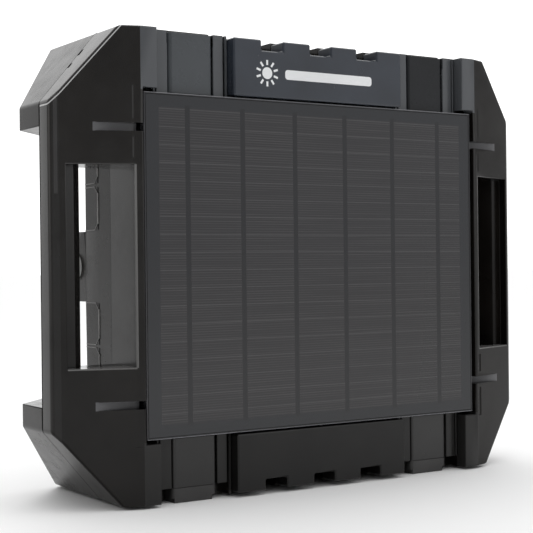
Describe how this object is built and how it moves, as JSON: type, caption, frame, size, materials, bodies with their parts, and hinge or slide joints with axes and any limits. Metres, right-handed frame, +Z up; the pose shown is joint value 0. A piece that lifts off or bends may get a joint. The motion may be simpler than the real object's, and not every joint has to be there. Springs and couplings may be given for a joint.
{
  "type": "fence energizer",
  "caption": "Black plastic fence energizer box with a solar panel in its face, slanted cheeks with carrying handle openings, rubber runners and a hinged service door in the back.",
  "frame": {"origin": "on the ground under the middle of the case, at the bottom centre of the bounding box", "axes": "+X to the right seen from the front, +Y from the solar panel towards the back, +Z up"},
  "size_m": [0.506, 0.153, 0.4075],
  "materials": {
    "case_black": "satin moulded black plastic",
    "plate_black": "smooth satin-gloss blue-black plastic",
    "panel_glass": "glossy laminate over dark solar cells",
    "frame_black": "matte black plastic",
    "soft_black": "matte black rubber",
    "bright_metal": "polished metal",
    "screw_steel": "zinc plated steel",
    "brass_metal": "turned brass",
    "heat_metal": "plain aluminium",
    "core_steel": "varnished laminated core",
    "winding_copper": "enamelled copper winding",
    "board_green": "green circuit board",
    "battery_grey": "dark grey battery case",
    "film_blue": "blue sleeve",
    "fence_red": "red plastic",
    "earth_green": "green plastic",
    "lamp_green": "clear green lens"
  },
  "bodies": {
    "case": {"front_shell": "case_black", "rear_shell": "case_black", "case_seal": "soft_black", "panel_frame": "frame_black", "panel_laminate": "panel_glass", "panel_junction_box": "frame_black", "cover_plate_top": "plate_black", "cover_plate_bottom": "plate_black", "cover_block_top_left": "case_black", "cover_block_top_right": "case_black", "cover_block_bottom_left": "case_black", "cover_block_bottom_right": "case_black", "foot_top_left": "soft_black", "foot_top_right": "soft_black", "foot_bottom_left": "soft_black", "foot_bottom_right": "soft_black", "door_seal": "soft_black", "hinge_pin_lower": "screw_steel", "hinge_pin_upper": "screw_steel", "switch_ring": "bright_metal", "switch_body": "bright_metal", "switch_nut": "screw_steel", "fence_bush": "frame_black", "earth_bush": "frame_black", "fence_stud": "brass_metal", "earth_stud": "brass_metal", "charge_socket": "frame_black", "pulse_lamp": "lamp_green", "battery": "battery_grey", "battery_tab_minus": "bright_metal", "battery_tab_plus": "bright_metal", "battery_strap": "heat_metal", "circuit_board": "board_green", "transformer_core": "core_steel", "transformer_coil": "winding_copper", "storage_capacitor": "film_blue", "heat_sink": "heat_metal", "charge_controller": "frame_black", "solar_lead": "soft_black", "battery_lead": "fence_red", "fence_lead": "soft_black", "board_screw_1": "screw_steel", "board_screw_2": "screw_steel", "board_screw_3": "screw_steel", "board_screw_4": "screw_steel", "case_screw_1": "screw_steel", "case_screw_2": "screw_steel", "case_screw_3": "screw_steel", "case_screw_4": "screw_steel", "case_screw_5": "screw_steel", "case_screw_6": "screw_steel", "case_screw_7": "screw_steel", "case_screw_8": "screw_steel"},
    "door": {"service_door": "case_black"},
    "lower_lock": {"door_lock_lower": "bright_metal"},
    "upper_lock": {"door_lock_upper": "bright_metal"},
    "button": {"push_button": "frame_black"},
    "fence_terminal_knob": {"fence_knob": "fence_red"},
    "earth_terminal_knob": {"earth_knob": "earth_green"},
    "cap": {"socket_cap": "soft_black"}
  },
  "joints": [
    {"name": "service_door_hinge", "type": "hinge", "parent": "case", "child": "door", "pos_m": [-0.117, 0.0725, 0.202], "axis": [0, 0, 1], "range_deg": [0, 105]},
    {"name": "lower_lock_turn", "type": "hinge", "parent": "door", "child": "lower_lock", "pos_m": [0.104, 0.0749, 0.142], "axis": [0, 1, 0], "range_deg": [0, 90]},
    {"name": "upper_lock_turn", "type": "hinge", "parent": "door", "child": "upper_lock", "pos_m": [0.104, 0.0749, 0.262], "axis": [0, 1, 0], "range_deg": [0, 90]},
    {"name": "push_button_press", "type": "slide", "parent": "case", "child": "button", "axis": [1, 0, 0], "range_m": [0, 0.0025], "stiffness_N_per_m": 600},
    {"name": "fence_knob_turn", "type": "hinge", "parent": "case", "child": "fence_terminal_knob", "pos_m": [0.2055, 0.0085, 0.252], "axis": [1, 0, 0], "range_deg": [0, 720]},
    {"name": "earth_knob_turn", "type": "hinge", "parent": "case", "child": "earth_terminal_knob", "pos_m": [0.2055, 0.0085, 0.152], "axis": [1, 0, 0], "range_deg": [0, 720]},
    {"name": "socket_cap_hinge", "type": "hinge", "parent": "case", "child": "cap", "pos_m": [0.1887, 0.0085, 0.2146], "axis": [0, -1, 0], "range_deg": [0, 120]}
  ]
}
